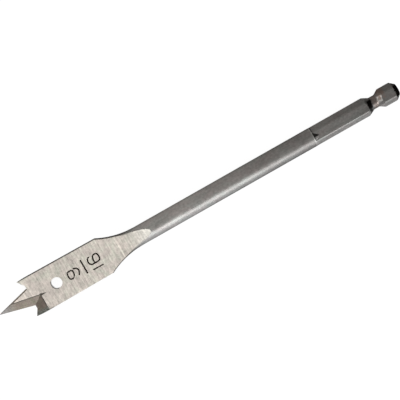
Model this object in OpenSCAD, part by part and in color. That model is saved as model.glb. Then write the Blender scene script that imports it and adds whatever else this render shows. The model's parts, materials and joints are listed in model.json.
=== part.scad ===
// Spade drill bit for wood, forged and ground from one steel bar.
// It lies at rest on a level surface, on its round shaft and on the tip of one spur.
// X runs along the bit from the point to the shank and Z is up.
// The origin is under the middle of the length, at the level the bit lies on.

/* [Overall] */
// Length from the tip of the point to the end of the shank
overall_length = 158.75; // [130:0.25:400]
// Diameter of the hole that the bit cuts, across both spurs
cutting_d = 14.29; // [13.5:0.01:32]
// Diameter of the round shaft between the blade and the shank
shaft_d = 6.98; // [6.7:0.01:7.3]

/* [Blade] */
// Thickness of the flat blade
blade_t = 2.3; // [1.8:0.05:3]
// Inward taper of each blade side, from the spurs to the rear corners, in degrees
blade_taper = 0.5; // [0.1:0.05:1]
// Distance from the tip to the centre of the hole in the blade
hole_from_tip = 22.8; // [20:0.1:30]
// Diameter of the hole in the blade
hole_d = 3.95; // [2:0.05:6]

/* [Point and spurs] */
// Length from the tip of the point to the two cutting edges
point_length = 12.3; // [10:0.1:14]
// Width of the point where it meets the cutting edges
point_base = 6.7; // [6:0.1:7.6]
// How far the ideal sharp point is blunted
tip_blunt = 0.45; // [0.05:0.01:0.6]
// Thickness left behind the cutting edges after the rake is ground
edge_land = 0.75; // [0.6:0.05:0.9]
// Slope of the rake ground behind each cutting edge, in degrees to the blade face
edge_rake = 22.5; // [20:0.5:30]
// Slope of the rake ground along each side of the point, in degrees to the blade face
point_rake = 24; // [20:0.5:28]
// Relief of the cutting edges and spurs, in degrees
edge_relief = 30; // [8:0.5:32]
// Relief of the sides of the point, in degrees
point_relief = 28; // [10:0.5:32]
// How far each spur stands ahead of the cutting edges
spur_lead = 2; // [1:0.05:2.2]
// Width of each spur at its root
spur_width = 2.5; // [2:0.05:2.8]
// Radius in the corner between a spur and its cutting edge
spur_root_r = 0.8; // [0.4:0.05:1]

/* [Neck] */
// Distance from the tip to where the neck has come down to the shaft
neck_end = 55.45; // [52:0.05:80]
// Radius of the hollow sides of the neck
neck_r = 30; // [26:0.5:40]
// Distance from the tip to where the blade faces start to rise to the shaft
ramp_start = 47.85; // [45:0.05:70]
// Slope of the rising part of the blade faces, in degrees
ramp_slope = 10.8; // [8:0.1:16]

/* [Shank] */
// Length of the six-sided shank
hex_length = 33.65; // [25:0.05:40]
// Size of the shank across its flats
hex_flats = 6.25; // [6.2:0.01:6.3]
// How far the corners of the shank lie below the surface of the shaft
corner_drop = 0.03; // [0.02:0.005:0.1]
// Length of the edge break where the shaft steps down to the shank
shaft_break = 0.1; // [0.05:0.01:0.15]
// Length of the shallow cone in which the shaft runs out on the flats of the shank
flat_run_out = 2.2; // [1:0.1:4]
// Distance from the end of the shank to the middle of the groove floor
groove_from_end = 9.3; // [8.8:0.1:11]
// Diameter of the shank at the floor of the groove
groove_d = 4.55; // [4.3:0.05:5]
// Length of the groove floor
groove_floor = 2.1; // [1.8:0.05:2.6]
// Slope of the groove side toward the blade, in degrees
groove_front_slope = 27; // [24:0.5:40]
// Slope of the groove side toward the end, in degrees
groove_rear_slope = 32; // [26:0.5:40]
// Radius in the corners of the groove floor
groove_fillet = 0.9; // [0.3:0.05:1.2]
// Diameter of the flat end of the shank
end_d = 4; // [3:0.1:5]
// Slope of the bevel at the end of the shank, in degrees to the axis
end_slope = 40.5; // [30:0.5:50]

/* [Hidden] */
$fn = 96;
cutting_r = cutting_d / 2;
shaft_r = shaft_d / 2;
corner_r = shaft_r - corner_drop;
face_z = blade_t / 2;
hex_start = overall_length - hex_length;
// The spur tips and the level of the cutting edge on the side that is ground from the front
spur_x = point_length - spur_lead;
edge_z = edge_land - face_z;
rake_start = point_length + (blade_t - edge_land) / tan(edge_rake);
// The roll that lets the shaft and one spur touch the surface together
rest_roll = asin(shaft_r / cutting_r) - asin(face_z / cutting_r);
// The planes that meet in the cutting edge along one side of the point
point_run = point_length + tip_blunt;
rake_across = tan(point_rake);
rake_along = (rake_across * point_base / 2 + edge_z) / point_run;
relief_across = tan(point_relief);
relief_along = (point_base / 2 - edge_z * relief_across) / point_run;
// The spur in the plane square to its relief, and the way its flank turns from the cutting edge
flank_lead = spur_lead * cos(edge_relief);
flank_turn = atan(flank_lead / spur_width);
root_y = spur_width - cutting_r;
root_set = spur_root_r * tan(flank_turn / 2);
reach = cutting_d + 2 * point_length;
slack = 1;

// Radius of the tapered blade side at a distance from the tip
function side_r(x) = cutting_r - (x - spur_x) * tan(blade_taper);

// Half section of blade, neck and shaft, radius across and length up
module body_section() {
    break_r = shaft_r - shaft_break;
    run_out_fall = (break_r - hex_flats / 2) / flat_run_out;
    difference() {
        polygon([[0, 0], [side_r(0), 0], [side_r(neck_end), neck_end], [0, neck_end]]);
        translate([shaft_r + neck_r, neck_end])
            circle(neck_r);
    }
    polygon([
        [0, neck_end - slack],
        [shaft_r, neck_end],
        [shaft_r, hex_start - shaft_break],
        [break_r, hex_start],
        [break_r - 2 * flat_run_out * run_out_fall, hex_start + 2 * flat_run_out],
        [0, hex_start + 2 * flat_run_out]
    ]);
}

// Half section of the groove that a spring ball drops into
module groove_section() {
    floor_r = groove_d / 2;
    rise = corner_r - floor_r + slack;
    front = overall_length - groove_from_end - groove_floor / 2;
    rear = front + groove_floor;
    front_set = groove_fillet * tan(groove_front_slope / 2);
    rear_set = groove_fillet * tan(groove_rear_slope / 2);
    polygon([
        [floor_r, front + front_set],
        [floor_r, rear - rear_set],
        [floor_r + rear_set * sin(groove_rear_slope), rear + rear_set * cos(groove_rear_slope)],
        [floor_r + rise, rear + rise / tan(groove_rear_slope)],
        [floor_r + rise, front - rise / tan(groove_front_slope)],
        [floor_r + front_set * sin(groove_front_slope), front - front_set * cos(groove_front_slope)]
    ]);
    translate([floor_r + groove_fillet, front + front_set])
        circle(groove_fillet);
    translate([floor_r + groove_fillet, rear - rear_set])
        circle(groove_fillet);
}

// Half section of the shank before its flats
module shank_section() {
    end_r = end_d / 2;
    difference() {
        polygon([
            [0, hex_start - slack],
            [corner_r, hex_start - slack],
            [corner_r, overall_length - (corner_r - end_r) / tan(end_slope)],
            [end_r, overall_length],
            [0, overall_length]
        ]);
        groove_section();
    }
}

// Everything above the front face of the blade and its ramp up to the shaft
module above_face() {
    rise = shaft_r + slack - face_z;
    rotate([90, 0, 0])
        linear_extrude(4 * cutting_d, center = true)
            polygon([
                [-slack, face_z],
                [ramp_start, face_z],
                [ramp_start + rise / tan(ramp_slope), face_z + rise],
                [ramp_start, cutting_d],
                [-slack, cutting_d]
            ]);
}

// The rake ground from the front, along the point and behind one cutting edge
module rake_cut() {
    tilt = asin(rake_across / sqrt(1 + pow(rake_across, 2) + pow(rake_along, 2)));
    intersection() {
        translate([-tip_blunt, 0, 0])
            rotate([tilt, -atan(rake_along), 0])
                translate([-reach, -reach, 0])
                    cube([2 * reach, 2 * reach, reach]);
        translate([rake_start, 0, face_z])
            rotate([0, -edge_rake, 0])
                translate([-2 * reach, -reach, 0])
                    cube([2 * reach + slack, 2 * reach, reach]);
    }
}

// The open space ahead of one cutting edge, between the point and the spur
module gullet_cut() {
    lean = asin(relief_across / sqrt(1 + pow(relief_across, 2) + pow(relief_along, 2)));
    intersection() {
        translate([point_length, 0, edge_z])
            rotate([0, -edge_relief, 0])
                linear_extrude(reach, center = true) {
                    polygon([
                        [0, cutting_d],
                        [0, root_y + root_set],
                        [-root_set * sin(flank_turn), root_y - root_set * cos(flank_turn)],
                        [-reach * sin(flank_turn), root_y - reach * cos(flank_turn)],
                        [-reach, root_y - reach * cos(flank_turn)],
                        [-reach, cutting_d]
                    ]);
                    translate([-spur_root_r, root_y + root_set])
                        circle(spur_root_r);
                }
        translate([-tip_blunt, 0, 0])
            rotate([lean, 0, -atan(relief_along)])
                translate([-reach, -2 * reach, -reach])
                    cube([3 * reach, 2 * reach, 2 * reach]);
    }
}

// The bit with its axis on X and its blade level
module level_bit() {
    difference() {
        rotate([0, 90, 0])
            rotate_extrude()
                body_section();
        for (turn = [0, 180])
            rotate([turn, 0, 0]) {
                above_face();
                rake_cut();
                gullet_cut();
            }
        translate([hole_from_tip, 0, 0])
            cylinder(d = hole_d, h = 2 * blade_t, center = true);
    }
    intersection() {
        rotate([0, 90, 0])
            rotate_extrude()
                shank_section();
        translate([hex_start - slack, 0, 0])
            rotate([0, 90, 0])
                rotate([0, 0, 30])
                    cylinder(r = hex_flats / 2 / cos(30), h = hex_length + 2 * slack, $fn = 6);
    }
}

// The bit rolled and lowered to the way it lies at rest
module spade_bit() {
    color([0.62, 0.6, 0.57])
        translate([-overall_length / 2, 0, shaft_r])
            rotate([rest_roll, 0, 0])
                level_bit();
}

spade_bit();
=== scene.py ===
import json
import math

import bpy
import numpy as np
from mathutils import Matrix, Vector


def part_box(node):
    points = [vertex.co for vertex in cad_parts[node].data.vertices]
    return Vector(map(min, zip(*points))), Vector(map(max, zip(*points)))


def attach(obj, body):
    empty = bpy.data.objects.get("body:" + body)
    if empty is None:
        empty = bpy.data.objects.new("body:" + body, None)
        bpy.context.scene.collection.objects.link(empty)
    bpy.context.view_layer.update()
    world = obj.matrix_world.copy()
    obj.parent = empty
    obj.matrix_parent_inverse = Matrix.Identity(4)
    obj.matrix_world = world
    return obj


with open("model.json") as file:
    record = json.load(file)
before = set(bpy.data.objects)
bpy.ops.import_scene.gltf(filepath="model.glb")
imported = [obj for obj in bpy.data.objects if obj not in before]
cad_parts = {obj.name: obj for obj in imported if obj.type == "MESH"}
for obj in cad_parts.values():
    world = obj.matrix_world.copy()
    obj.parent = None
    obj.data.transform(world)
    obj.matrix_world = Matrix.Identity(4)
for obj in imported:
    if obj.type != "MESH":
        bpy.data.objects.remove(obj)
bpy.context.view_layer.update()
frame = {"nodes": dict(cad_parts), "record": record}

# The bit itself: one bar of tool steel, forged flat at one end, turned and milled at the other, then ground.
# The blade and its ramps are ground bright across the axis, the rakes of the point and of the cutting edges
# are ground last and look darker, those of the cutting edges darker still by painted dark reflection, and the
# shaft, the shank and the narrow sides keep the grey of the hardened bar, the narrow sides made nearly black by
# painted dark reflection.
bit = frame["nodes"]["spade_bit"]
low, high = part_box("spade_bit")
axis_height = (low.z + high.z) / 2
hole_axis = next(m["axis"] for m in frame["record"]["mounts"] if m["name"] == "blade_hole")
roll = math.atan2(-hole_axis[1], hole_axis[2])
millimetre = 0.001
# Sizes in millimetres. Places along the bit count from the tip of its point.
face_height, half_blade, side_taper = 1.15, 7.235, 0.00873
rake_end, spur_tip, hole_place, blade_end = 17.5, 11.0, 22.8, 41.5
ramp_start, ramp_end = 47.85, 60.7
neck_end, neck_hollow, shaft_radius = 55.45, 30.0, 3.49
shank_start, groove_start, bevel_start, shank_end = 125.1, 146.6, 157.1, 158.75


class Finish:
    """One node output of a material or world, on which Python's operators add the Math nodes they stand for."""

    def __init__(self, tree, output=None):
        self.tree, self.output = tree, output

    def node(self, kind, settings=None, sockets=None, out=0):
        """Adds a node of a kind, sets its settings first, then feeds its sockets with values or other outputs."""
        made = self.tree.nodes.new(kind)
        for key, value in (settings or {}).items():
            setattr(made, key, value)
        for key, value in (sockets or {}).items():
            if isinstance(value, Finish):
                self.tree.links.new(value.output, made.inputs[key])
            else:
                made.inputs[key].default_value = value
        return Finish(self.tree, made.outputs[out] if len(made.outputs) else None)

    def math(self, operation, *terms):
        """One Math node that does an operation on its terms."""
        return self.node("ShaderNodeMath", {"operation": operation}, dict(enumerate(terms)))

    def __add__(self, other):
        return self.math("ADD", self, other)

    def __sub__(self, other):
        return self.math("SUBTRACT", self, other)

    def __rsub__(self, other):
        return self.math("SUBTRACT", other, self)

    def __mul__(self, other):
        return self.math("MULTIPLY", self, other)

    def __truediv__(self, other):
        return self.math("DIVIDE", self, other)

    def __abs__(self):
        return self.math("ABSOLUTE", self)

    __radd__, __rmul__ = __add__, __mul__

    def root(self):
        return self.math("SQRT", self)

    def sign(self):
        return self.math("SIGN", self)

    def larger(self, other):
        return self.math("MAXIMUM", self, other)

    def step(self, start, end, low_value=0.0, high_value=1.0):
        """Goes smoothly from low_value where the output is at start to high_value where it is at end."""
        return self.node("ShaderNodeMapRange", {"interpolation_type": "SMOOTHSTEP"}, {
            "Value": self, "From Min": start, "From Max": end, "To Min": low_value, "To Max": high_value})

    def fall(self, start, end, high_value=1.0):
        """Goes smoothly from high_value where the output is at start down to 0 where it is at end."""
        return self.step(start, end, high_value, 0.0)

    def blend(self, first, second):
        """A colour between two colours, by this output as the share of the second."""
        return self.node("ShaderNodeMix", {"data_type": "RGBA"}, {0: self, 6: first, 7: second}, out=2)

    def stain(self, colour):
        """A colour multiplied by this output, which is a colour too."""
        return self.node("ShaderNodeMix", {"data_type": "RGBA", "blend_type": "MULTIPLY"},
                         {0: 1.0, 6: colour, 7: self}, out=2)

    def tint(self, colour):
        """A colour multiplied by this output, which is a number."""
        return self.node("ShaderNodeCombineColor", None, {0: self, 1: self, 2: self}).stain(colour)

    def noise(self, along, across, through, detail=3.0):
        """Noise from 0 to 1 at a point whose three parts are given, with one bump to a unit of each."""
        place = self.node("ShaderNodeCombineXYZ", None, {0: along, 1: across, 2: through})
        return self.node("ShaderNodeTexNoise", {"noise_dimensions": "3D"},
                         {"Vector": place, "Scale": 1.0, "Detail": detail, "Roughness": 0.55})


def new_steel(name):
    """Starts a material and gives the place on the bit in millimetres: along from the tip, across the blade
    and out of its face. Across and out are the place beside the axis, turned by the roll at which the bit lies."""
    material = bpy.data.materials.new(name)
    material.use_nodes = True
    material.node_tree.nodes.clear()
    start = Finish(material.node_tree)
    point = start.node("ShaderNodeTexCoord", out=3)
    parts = [start.node("ShaderNodeSeparateXYZ", None, {0: point}, out=i) for i in range(3)]
    along = (parts[0] - low.x) / millimetre
    side, rise = parts[1] / millimetre, (parts[2] - axis_height) / millimetre
    across = side * math.cos(roll) + rise * math.sin(roll)
    out_of_face = rise * math.cos(roll) - side * math.sin(roll)
    return material, start, along, across, out_of_face


def close_steel(start, colour, roughness, bump_height, bump_depth, glance=0.3):
    """Ends a material with bare metal of a colour and roughness, with fine relief of a depth in metres.
    Glance is how bright it stays where it is seen almost edge on."""
    relief = start.node("ShaderNodeBump", None, {"Strength": 1.0, "Distance": bump_depth, "Height": bump_height})
    metal = start.node("ShaderNodeBsdfPrincipled", None, {
        "Base Color": colour, "Roughness": roughness, "Metallic": 1.0, "Normal": relief,
        "Specular Tint": (glance, glance, glance, 1.0)})
    start.node("ShaderNodeOutputMaterial", None, {"Surface": metal})


def ground_blade_steel():
    """Bright steel with broken scratches that run across the blade, with a painted highlight that grows up the
    ramps to the shaft. Each face has painted highlight lines where its ramp starts, beside the point's edge and
    along the upper edge of the ramp's tongue; painted shade along its trailing edge, on the lower side of the
    tongue and by the lower shoulder; a dark line along its neck; and a nick where the wheel that ground the point
    ran out, with painted shade in it. A dark line runs along one side of the hole's rim."""
    pink_grey, green_grey = (0.562, 0.504, 0.454, 1.0), (0.54, 0.519, 0.45, 1.0)
    # The second grey on the next line is painted shade for the lower side of the ramp's tongue.
    ramp_grey, painted_tongue_grey = (0.556, 0.533, 0.487, 1.0), (0.27, 0.27, 0.27, 1.0)
    # The black of the dark lines below; most of them are painted shade.
    dark_line_black = (0.06, 0.052, 0.044, 1.0)
    point_half, point_slope = 2.5, 0.192
    nick_start, nick_end, nick_hand, nick_slope, nick_taper = 16.04, 18.3, -0.83, 0.11, 0.2
    material, start, along, across, out = new_steel("ground_blade_steel")
    streak = start.noise(along * 1.7, across * 0.16, out * 0.3, 3.0)
    scratch = start.noise(along * 7.0, across * 0.5, out * 0.5, 3.0)
    mottle = start.noise(along * 1.2, across * 1.0, out * 0.4, 3.0)
    cloud = start.noise(along * 0.25, across * 0.25, out * 0.2, 2.0)
    # Hand is the place across as each face shows it, so that the bit looks the same after half a turn.
    hand = out.sign() * across
    radius = (across * across + out * out).root()
    # Painted highlight: the face grows brighter and warmer up the ramps to the shaft.
    painted_ramp_highlight = along.step(ramp_start, ramp_end)
    # Painted highlight: a bright line where the ramp starts.
    painted_kink_highlight = along.step(ramp_start - 0.4, ramp_start - 0.1) * along.fall(ramp_start + 0.1, ramp_start + 0.4)
    # Painted highlight: a bright line on the face beside the point's edge.
    past_point = hand - point_half + along * point_slope
    lip = past_point.step(0.0, 0.1) * past_point.fall(0.2, 0.5) * along.fall(15.0, 16.0)
    level = streak * 0.8 + scratch * 0.6 + mottle * 0.75 + cloud * 0.3 - 0.266
    level = level * along.step(spur_tip, rake_end - 0.5, 1.12, 1.0)
    # The nick is only a shallow dent in the bump; its dark is painted shade.
    from_nick = abs(hand - nick_hand + (along - nick_start) * nick_slope)
    nick = (nick_taper * (nick_end - along) - from_nick).step(-0.06, 0.1)
    nick = nick * along.step(15.5, 15.8) * along.fall(nick_end - 0.1, nick_end + 0.2)
    behind = (neck_end - along).larger(0.0)
    to_edge = radius - (shaft_radius + neck_hollow) + (neck_hollow ** 2 - behind * behind).root()
    # A dark line along the neck's edge.
    neck_edge_dark = to_edge.step(-0.36, -0.14) * along.step(blade_end - 0.2, blade_end + 0.2) * along.fall(49.0, 55.0)
    # Painted shade: the lower side of the ramp's tongue turns grey.
    painted_tongue_shade = to_edge.step(-0.42, -0.08) * along.step(50.0, 53.0) * hand.fall(-0.9, -0.4, 0.55)
    painted_tongue_shade = painted_tongue_shade * along.fall(55.5, 58.0)
    # Painted highlight: a bright line along the upper edge of the ramp's tongue.
    glint = to_edge.step(-0.4, -0.15) * along.step(53.0, 55.0) * hand.step(0.3, 0.6)
    # Painted shade: a dark band along the trailing edge that widens the dark of the narrow side.
    trailing = (radius - half_blade + along * side_taper).step(-0.28, -0.1) * hand.step(0.0, 0.1)
    trailing = trailing * along.step(spur_tip + 0.1, spur_tip + 0.8) * along.fall(blade_end - 0.2, blade_end + 0.4)
    past_hole = along - hole_place
    from_hole = (past_hole * past_hole + across * across).root()
    # A dark line along the hole's rim, on its lower side toward the point.
    ring = from_hole.fall(2.1, 2.24) * (past_hole * 0.94 + hand * 0.34).fall(-1.05, -0.7)
    # Painted shade: a dark band along the lower edge by the shoulder.
    painted_shoulder_shade = (-1.0 * hand).step(6.5, 6.8) * along.fall(rake_end - 0.2, rake_end + 0.8, 0.6)
    dark = (nick * 0.95).larger(neck_edge_dark * 0.9).larger(trailing * 0.75).larger(ring * 0.95).larger(painted_shoulder_shade)
    hue = start.noise(along * 0.5, across * 0.35, out * 0.2, 2.0).step(0.36, 0.74)
    hue = hue * (1.0 - along.fall(19.0, 24.0, 0.7) * hand.fall(2.0, 4.0))
    warmth = painted_ramp_highlight.blend(hue.blend(pink_grey, green_grey), ramp_grey)
    level = level * (1.0 + painted_ramp_highlight * 0.27 + painted_kink_highlight * 0.22 + lip * 0.12 + glint * 0.1)
    colour = dark.blend(painted_tongue_shade.blend(level.tint(warmth), painted_tongue_grey), dark_line_black)
    close_steel(start, colour, 0.56 + streak * 0.1 + scratch * 0.08, scratch - nick * 4.0, bump_depth=0.000006)
    return material


def bored_steel():
    """The wall of the hole, bright from the drill. It is dark on the side toward the point, and in the lower
    corner where the wall meets the marked face."""
    bored_white, hole_dark_black = (1.0, 0.99, 0.97, 1.0), (0.05, 0.045, 0.04, 1.0)
    material, start, along, across, out = new_steel("bored_steel")
    groove = start.noise(along * 0.7, across * 0.7, out * 5.0, 3.0)
    past_hole = along - hole_place
    # The wall turns dark on the side toward the point and in the lower corner by the marked face.
    hole_dark_share = (past_hole + (groove - 0.5) * 0.6).fall(-1.75, -1.5, 0.92)
    hole_dark_share = hole_dark_share.larger((past_hole * 0.55 + across * 0.83).fall(-1.7, -1.4, 0.95) * out.step(0.0, 0.4))
    colour = hole_dark_share.blend((0.86 + groove * 0.14).tint(bored_white), hole_dark_black)
    close_steel(start, colour, 0.2 + groove * 0.1, groove, bump_depth=0.000003, glance=1.0)
    return material


def ground_rake_steel(name, colour):
    """Steel ground last with a fine wheel: darker and warmer, with close lines across the cutting edge.
    It is greyer at the tip, dark along the edge where it meets the face, and at the spur darkened to a speckled
    green grey by painted reflection."""
    tip_grey, border_black = (0.226, 0.21, 0.2, 1.0), (0.05, 0.05, 0.046, 1.0)
    pink_cast, green_cast, corner_cast = (1.02, 0.985, 0.985, 1.0), (0.97, 1.03, 0.93, 1.0), (1.0, 1.05, 0.92, 1.0)
    material, start, along, across, out = new_steel(name)
    line = start.noise(along * 0.6, across * 5.0, out * 0.8, 3.0)
    cloud = start.noise(along * 0.6, across * 0.6, out * 0.5, 2.0)
    grit = start.noise(along * 2.2, across * 2.2, out * 2.2, 3.0)
    level = (0.05 + line * 0.55 + cloud * 0.55 + grit * 0.8) * along.step(9.0, 14.0, 1.0, 0.95)
    tip = along.fall(1.5, 7.5)
    border = abs(out).step(face_height - 0.26, face_height - 0.06)
    # Painted reflection: the rake darkens to a speckled green grey at the spur.
    corner = (abs(across) + (line - 0.5) * 1.2 + (grit - 0.5) * 1.6).step(5.2, 6.2)
    hue = start.noise(along * 0.7, across * 0.7, out * 0.5, 2.0).step(0.4, 0.7)
    toned = hue.blend(pink_cast, green_cast).stain(colour)
    ground = tip.blend(level.tint(toned), level.tint(tip_grey))
    painted_spur_reflection = grit.step(0.35, 0.65, 0.06, 0.16).tint(corner_cast)
    finish = (corner * 0.85).blend((border * 0.7).blend(ground, border_black), painted_spur_reflection)
    close_steel(start, finish, 0.32 + line * 0.12, line, bump_depth=0.000005)
    return material


def edge_relief_steel():
    """The narrow reliefs ahead of the shoulders, freshly ground almost to a mirror,
    and darker on the flank that runs up to each spur's tip."""
    mirror_white = (1.0, 1.0, 0.98, 1.0)
    material, start, along, across, out = new_steel("edge_relief_steel")
    line = start.noise(along * 0.8, across * 0.8, out * 6.0, 3.0)
    level = (0.94 + line * 0.06) * (1.0 - abs(across).step(5.0, 5.5) * abs(across).step(5.9, 6.5, 0.6, 0.1))
    close_steel(start, level.tint(mirror_white), 0.1 + line * 0.06, line, bump_depth=0.000002, glance=1.0)
    return material


def bar_steel():
    """The hardened bar: dull grey with long faint draw lines and specks where the oxide skin came off, darker to
    the shank. The narrow sides of the blade are made nearly black by painted dark reflection. Painted shadow falls
    where the shaft runs out on the flats, painted dark reflections lie in the front of the groove and on the end
    bevel, and painted highlights lie on the rear of the groove, on the edge of the step and on the shank's lower
    flat."""
    pink_cast, green_cast, rust_cast = (1.02, 0.925, 0.87, 1.0), (0.98, 0.955, 0.89, 1.0), (1.0, 0.7, 0.56, 1.0)
    # A black used only for painted shade and painted dark reflections.
    painted_dark_black = (0.006, 0.005, 0.0045, 1.0)
    material, start, along, across, out = new_steel("bar_steel")
    draw = start.noise(along * 0.05, across * 2.2, out * 2.2, 3.0)
    speck = start.noise(along * 1.1, across * 1.3, out * 1.3, 4.0)
    cloud = start.noise(along * 0.12, across * 0.3, out * 0.3, 2.0)
    level = 0.17 + draw * 0.3 + speck * 0.85 + cloud * 0.5
    ragged = along + (speck - 0.5) * 1.5
    hand = out.sign() * across
    past_step, past_groove, ragged_groove = along - shank_start, along - groove_start, ragged - groove_start
    shaft = along.step(62.0, 125.0, 0.245, 0.144)
    shank = past_step.step(-0.02, 0.02)
    toward_end = along.step(126.0, 156.0)
    # Painted highlight on the rear cone of the groove, streaked by the specks.
    slant = ragged_groove - hand * 0.3
    painted_groove_highlight = slant.step(3.4, 3.8) * slant.fall(5.1, 5.6) * speck.step(0.4, 0.6, 1.0, 0.25)
    painted_groove_highlight = painted_groove_highlight * hand.fall(1.0, 1.7) * hand.step(-1.1, -0.4)
    head = 0.138 - toward_end * 0.039 + painted_groove_highlight * 0.36
    # Painted highlight on the edge of the step from the shaft to the shank.
    painted_step_highlight = past_step.step(-0.45, -0.25) * past_step.fall(0.0, 0.05)
    # Painted highlight on the lower flat of the shank, stronger toward the end.
    painted_flat_highlight = shank * hand.fall(-2.1, -1.8, 0.5) * (1.0 + toward_end * 0.85)
    # Painted dark reflection makes the narrow sides of the blade nearly black; it fades toward the ramps, and the
    # sides are much lighter toward the point, ahead of the spur tips.
    side = 0.25 + along.step(46.0, 58.0) * 0.75 + along.fall(spur_tip - 0.3, spur_tip + 0.3, 3.2)
    tone = level * (shaft + shank * (head - shaft)) * side * (1.0 + painted_step_highlight * 0.5 + painted_flat_highlight)
    # Painted shadow of the step on the flats where the shaft runs out, with painted shade beside the step.
    painted_step_shadow = (1.8 - hand - past_step * 0.9).step(-0.05, 0.12) * hand.step(-0.2, 0.0) * abs(out).step(2.9, 3.0)
    shade = past_step.fall(0.25, 0.6, 0.6) * hand.step(-1.6, -0.8)
    painted_step_shadow = shank * (painted_step_shadow * past_step.fall(2.05, 2.35)).larger(shade)
    # Painted dark reflection on the front cone of the groove.
    painted_groove_reflection = ragged_groove.step(-0.2, 0.2) * (ragged_groove - hand * 0.25).fall(1.4, 1.9)
    painted_groove_reflection = painted_groove_reflection * hand.fall(1.5, 2.1) * hand.step(-1.6, -0.6, 0.8, 1.0)
    # Painted dark reflection on the end bevel.
    bevel = (ragged - bevel_start).step(-0.15, 0.2) * hand.step(1.6, 2.2, 1.0, 0.35)
    bevel = bevel * hand.step(-2.3, -1.7, 0.6, 1.0) * along.step(shank_end - 0.25, shank_end - 0.05, 1.0, 0.3)
    painted_dark = (painted_step_shadow * 0.92).larger(painted_groove_reflection).larger(bevel)
    rust = past_groove.step(4.0, 5.0) * past_groove.fall(6.6, 7.8) * (speck + hand * 0.09).step(0.48, 0.66)
    rust = rust.larger(past_groove.step(1.8, 2.3) * past_groove.fall(3.6, 4.2, 0.6))
    cast = start.noise(along * 0.3, across * 0.5, out * 0.5, 2.0).step(0.3, 0.7).blend(pink_cast, green_cast)
    colour = (rust * 0.7).blend(tone.tint(cast), tone.tint(rust_cast))
    colour = painted_dark.blend(colour, painted_dark_black)
    close_steel(start, colour, 0.36 + speck * 0.12 + draw * 0.06, speck, bump_depth=0.000006)
    return material


# Each face of the bit gets its finish by its place and by the way it points: facing is 1 where it points
# straight out of the blade, sideways is 1 where it points across the blade.
square_on, tilted, slanted, edge_on = 0.97, 0.8, 0.2, 0.2
relief_lean, point_reach, point_end = 0.6, 2.0, 12.9
point_half_width, hole_reach, hole_half_width = 0.0042, 2.2, 0.004
count = len(bit.data.polygons)
middle, normal = np.zeros(count * 3), np.zeros(count * 3)
bit.data.polygons.foreach_get("center", middle)
bit.data.polygons.foreach_get("normal", normal)
middle, normal = middle.reshape(-1, 3), normal.reshape(-1, 3)
along_mm, from_axis = (middle[:, 0] - low.x) / millimetre, np.abs(middle[:, 1])
facing = np.abs(normal @ np.array(hole_axis))
sideways = np.abs(normal @ np.array((0.0, math.cos(roll), math.sin(roll))))
on_face = (along_mm < ramp_end) & (facing > square_on)
on_rake = (along_mm < rake_end) & (facing > tilted) & ~on_face
on_relief = (along_mm < rake_end) & (along_mm > point_reach) & (np.abs(normal[:, 0]) > relief_lean)
on_point = (along_mm < point_end) & (from_axis < point_half_width) & ~on_face & ~on_relief
on_point |= on_rake & (sideways > slanted)
in_hole = (np.abs(along_mm - hole_place) < hole_reach) & (from_axis < hole_half_width) & (facing < edge_on)
finishes = [
    (on_face, ground_blade_steel()),
    (on_relief, edge_relief_steel()),
    (on_point, ground_rake_steel("point_rake_steel", (0.208, 0.179, 0.151, 1.0))),
    # The cutting edges' rakes get a darker colour than the point's, a painted dark reflection.
    (on_rake, ground_rake_steel("edge_rake_steel", (0.136, 0.113, 0.096, 1.0))),
    (~in_hole, bar_steel()),
    (in_hole, bored_steel()),
]
finish_index = np.select([faces for faces, _ in finishes], list(range(len(finishes))))
bit.data.materials.clear()
for _, finish in finishes:
    bit.data.materials.append(finish)
bit.data.polygons.foreach_set("material_index", finish_index.astype(np.int32))

# The size mark: the plain fraction 9 over 16, pressed into the front face by a rolled die.
# Each stroke is a shallow groove between two thin bright lips of steel pushed up at its sides, its floor
# darkened by painted shade.
# Heights are in millimetres from the face, and the lips' places are shares of a stroke's half width.
floor_rise, lip_rise, sunk = 0.006, 0.022, 0.1
lip_top, lip_foot, end_width = 0.93, 0.86, 0.02
corner_cuts, end_steps, path_steps = 4, 7, 48


def rounded(corners):
    """Cuts the corners of a line of points several times, at a quarter and three quarters of each part."""
    path = np.array(corners, float)
    for _ in range(corner_cuts):
        first, second = path[:-1], path[1:]
        cut = np.stack([first * 0.75 + second * 0.25, first * 0.25 + second * 0.75], axis=1).reshape(-1, 2)
        path = np.concatenate([path[:1], cut, path[-1:]])
    return path


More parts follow.
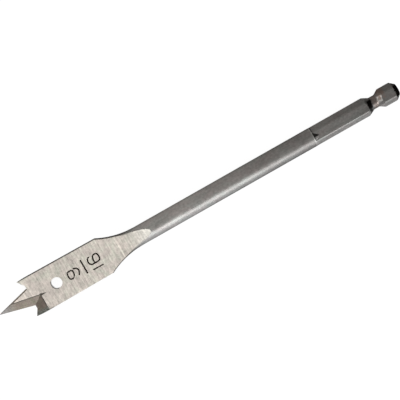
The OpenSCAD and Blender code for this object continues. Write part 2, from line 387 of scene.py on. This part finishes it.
def pressed_stroke(half, corners):
    """A groove carried along a rounded line on the face. Its profile goes from one edge up over a lip,
    along the floor, over the other lip and back under the face, and it narrows to a half round at both ends."""
    path = rounded(corners)
    length = np.concatenate([[0], np.cumsum(np.linalg.norm(np.diff(path, axis=0), axis=1))])
    inward = half * (1 - np.cos(np.linspace(0, np.pi / 2, end_steps)))
    straight = np.linspace(half, length[-1] - half, path_steps)
    steps = np.unique(np.concatenate([inward, straight, length[-1] - inward]).round(5))
    path = np.stack([np.interp(steps, length, path[:, i]) for i in range(2)], axis=1)
    ahead = np.gradient(path, axis=0)
    ahead /= np.linalg.norm(ahead, axis=1, keepdims=True)
    aside = np.stack([-ahead[:, 1], ahead[:, 0]], axis=1)
    from_end = np.minimum(np.minimum(steps, steps[-1] - steps), half) / half
    width = np.maximum(np.sqrt(1 - (1 - from_end) ** 2), end_width) * half
    offset = np.array([-1.0, -lip_top, -lip_foot, 0.0, lip_foot, lip_top, 1.0, 1.0, -1.0])
    height = np.array([0.0, lip_rise, floor_rise, floor_rise, floor_rise, lip_rise, 0.0, -sunk, -sunk])
    spot = path[:, None, :] + aside[:, None, :] * (width[:, None] * offset)[:, :, None]
    rise = np.broadcast_to(face_height + height, spot.shape[:2])
    points = np.concatenate([spot, rise[:, :, None]], axis=2).reshape(-1, 3)
    rows, columns = spot.shape[:2]
    row, column = np.meshgrid(np.arange(rows - 1), np.arange(columns), indexing="ij")
    after = (column + 1) % columns
    sides = np.stack([row * columns + column, (row + 1) * columns + column,
                      (row + 1) * columns + after, row * columns + after], axis=2).reshape(-1, 4)
    caps = [list(range(columns)), list(range(rows * columns - 1, (rows - 1) * columns - 1, -1))]
    return points, sides, caps


# The half width of each stroke and its corners, along and across the face: the 9, the bar, the 6 and the 1.
strokes = [
    (0.28, [(28.75, -1.5), (27.85, -1.5), (27.45, -1.2), (27.32, 0.2), (27.6, 1.32), (29.25, 1.35), (29.65, 0.8),
            (29.62, -0.25), (29.25, -0.9)]),
    (0.19, [(29.3, -0.8), (29.05, -1.25), (28.6, -1.5)]),
    (0.29, [(29.95, 1.38), (30.4, 1.42), (31.3, 1.0), (31.65, 0.35), (31.6, -0.3), (30.9, -1.6)]),
    (0.3, [(33.77, -2.55), (33.72, 2.9)]),
    (0.29, [(37.0, 2.3), (36.15, 2.1), (35.75, 1.0), (35.9, 0.05), (36.5, -0.55), (37.3, -0.56), (39.4, -0.55),
            (39.85, -0.2), (40.05, 0.6), (40.05, 1.7), (39.5, 2.3), (38.4, 2.25), (37.85, 1.6), (37.72, 0.4),
            (37.78, -0.5)]),
    (0.25, [(36.0, -2.36), (40.2, -2.4)]),
]
vertices, faces, used = [], [], 0
for half_width, corners in strokes:
    points, sides, caps = pressed_stroke(half_width, corners)
    vertices.append(points)
    faces += (sides + used).tolist() + [[i + used for i in cap] for cap in caps]
    used += len(points)
vertices = np.concatenate(vertices)
level_axes = np.array([[1, 0, 0], [0, math.cos(roll), math.sin(roll)], [0, -math.sin(roll), math.cos(roll)]])
placed = vertices * millimetre @ level_axes + np.array([low.x, 0.0, axis_height])
mark_mesh = bpy.data.meshes.new("size_mark")
mark_mesh.from_pydata(placed.tolist(), [], faces)
mark = bpy.data.objects.new("size_mark", mark_mesh)
bpy.context.scene.collection.objects.link(mark)


def pressed_steel():
    """A groove floor made dark and uneven by painted shade, and lips that are as bright as the blade around them.
    """
    painted_groove_shade, lip_grey = (0.02, 0.0155, 0.012, 1.0), (0.68, 0.64, 0.58, 1.0)
    material, start, along, across, out = new_steel("pressed_steel")
    grit = start.noise(along * 4.0, across * 4.0, out, 3.0)
    lip = out.step(face_height + floor_rise + 0.002, face_height + lip_rise * 0.9)
    # The dark groove floor is painted shade.
    colour = lip.blend((0.5 + grit).tint(painted_groove_shade), lip_grey)
    close_steel(start, colour, 0.42 + grit * 0.2, grit, bump_depth=0.00001)
    return material


mark_mesh.materials.append(pressed_steel())
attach(mark, "root")

# The stage: a plain white table and the even white room around it, which is dim only past the shank end.
# The camera sees both as white, and the table keeps a soft shadow under the bit. In reflections the table glows
# as painted light: dark past the shank end, and brighter and cooler in front of the bit.
# A long low lamp in front of the shaft gives it its bright line.
white, cool_white = (1.0, 1.0, 1.0, 1.0), (0.95, 1.0, 1.07, 1.0)
table_reach, grain_scale, glow_share = 3.0, 40.0, 0.8
table_corners = np.array([(-1, -1, 0), (1, -1, 0), (1, 1, 0), (-1, 1, 0)]) * table_reach
table = bpy.data.meshes.new("white_table")
table.from_pydata(table_corners.tolist(), [], [(0, 1, 2, 3)])
table_top = bpy.data.objects.new("white_table", table)
bpy.context.scene.collection.objects.link(table_top)
paint = bpy.data.materials.new("white_table_paint")
paint.use_nodes = True
paint.node_tree.nodes.clear()
start = Finish(paint.node_tree)
place = start.node("ShaderNodeTexCoord", out=3)
grain = start.node("ShaderNodeTexNoise", None, {"Vector": place, "Scale": grain_scale})
matt = start.node("ShaderNodeBsdfPrincipled", None, {
    "Base Color": (0.88 + grain * 0.04).tint(white), "Roughness": 1.0, "Specular IOR Level": 0.0})
seen, mirrored = (start.node("ShaderNodeLightPath", out=i) for i in (0, 3))
# In reflections only, the table glows as painted light: dark past the shank end, brighter and cooler in front.
past_shank = start.node("ShaderNodeSeparateXYZ", None, {0: place}, out=0).step(0.078, 0.11, 0.0, 0.65)
in_front = start.node("ShaderNodeSeparateXYZ", None, {0: place}, out=1).fall(-0.002, 0.0)
cast = (in_front * mirrored).blend(white, cool_white)
brightness = seen * 1.1 + mirrored * (1.0 - past_shank) * (1.0 + in_front * 0.85)
glow = start.node("ShaderNodeEmission", None, {"Color": brightness.tint(cast), "Strength": 1.0})
surface = start.node("ShaderNodeMixShader", None, {
    0: seen * glow_share + mirrored * glow_share, 1: matt, 2: glow})
start.node("ShaderNodeOutputMaterial", None, {"Surface": surface})
table.materials.append(paint)

room = bpy.data.worlds.new("white_room")
bpy.context.scene.world = room
room.use_nodes = True
room.node_tree.nodes.clear()
start = Finish(room.node_tree)
way = start.node("ShaderNodeTexCoord", out=0)
toward_shank = start.node("ShaderNodeSeparateXYZ", None, {0: way}, out=0)
dim = toward_shank.step(-0.5, 0.0, 1.15, 1.0) * toward_shank.step(0.12, 0.6, 1.0, 0.35)
seen = start.node("ShaderNodeLightPath", out=0)
level = seen + (1.0 - seen) * dim
light = start.node("ShaderNodeBackground", None, {"Color": level.tint(white), "Strength": 1.0})
start.node("ShaderNodeOutputWorld", None, {"Surface": light})

lamp_length, lamp_height, lamp_watts = 0.56, 0.24, 2.55
lamp_place, lamp_aim = Vector((0.2, -0.42, 0.135)), Vector((0.0, 0.42, -0.135))
lamp_data = bpy.data.lights.new("long_front_lamp", "AREA")
lamp_data.shape, lamp_data.energy = "RECTANGLE", lamp_watts
lamp_data.size, lamp_data.size_y = lamp_length, lamp_height
lamp_data.color = (0.9, 0.96, 1.0)
lamp = bpy.data.objects.new("long_front_lamp", lamp_data)
lamp_turn = lamp_aim.to_track_quat("-Z", "Y").to_matrix().to_4x4()
lamp.matrix_world = Matrix.Translation(lamp_place) @ lamp_turn
bpy.context.scene.collection.objects.link(lamp)

# The camera stands almost straight above the bit, a little toward its lower edge,
# and is turned so that the bit runs from the lower left to the upper right.
# Scale is in pixels to the metre at the axis of the bit.
distance, scale_px, picture_px = 0.48, 2878.0, 400
view_tilt, turn = math.radians(6.8), math.radians(29.6)
aim = Vector((0.00077, 0.0003, axis_height))
lean = roll - view_tilt
to_camera = Vector((0.0, -math.sin(lean), math.cos(lean)))
along_axis = Vector((1.0, 0.0, 0.0))
upper = to_camera.cross(along_axis)
right = along_axis * math.cos(turn) - upper * math.sin(turn)
up = along_axis * math.sin(turn) + upper * math.cos(turn)
lens = bpy.data.cameras.new("camera")
lens.sensor_width = 36.0
lens.lens = scale_px * distance / picture_px * lens.sensor_width
camera = bpy.data.objects.new("camera", lens)
bpy.context.scene.collection.objects.link(camera)
camera_turn = Matrix((right, up, to_camera)).transposed().to_4x4()
camera.matrix_world = Matrix.Translation(aim + to_camera * distance) @ camera_turn
bpy.context.scene.camera = camera
bpy.context.scene.view_settings.view_transform = "Standard"
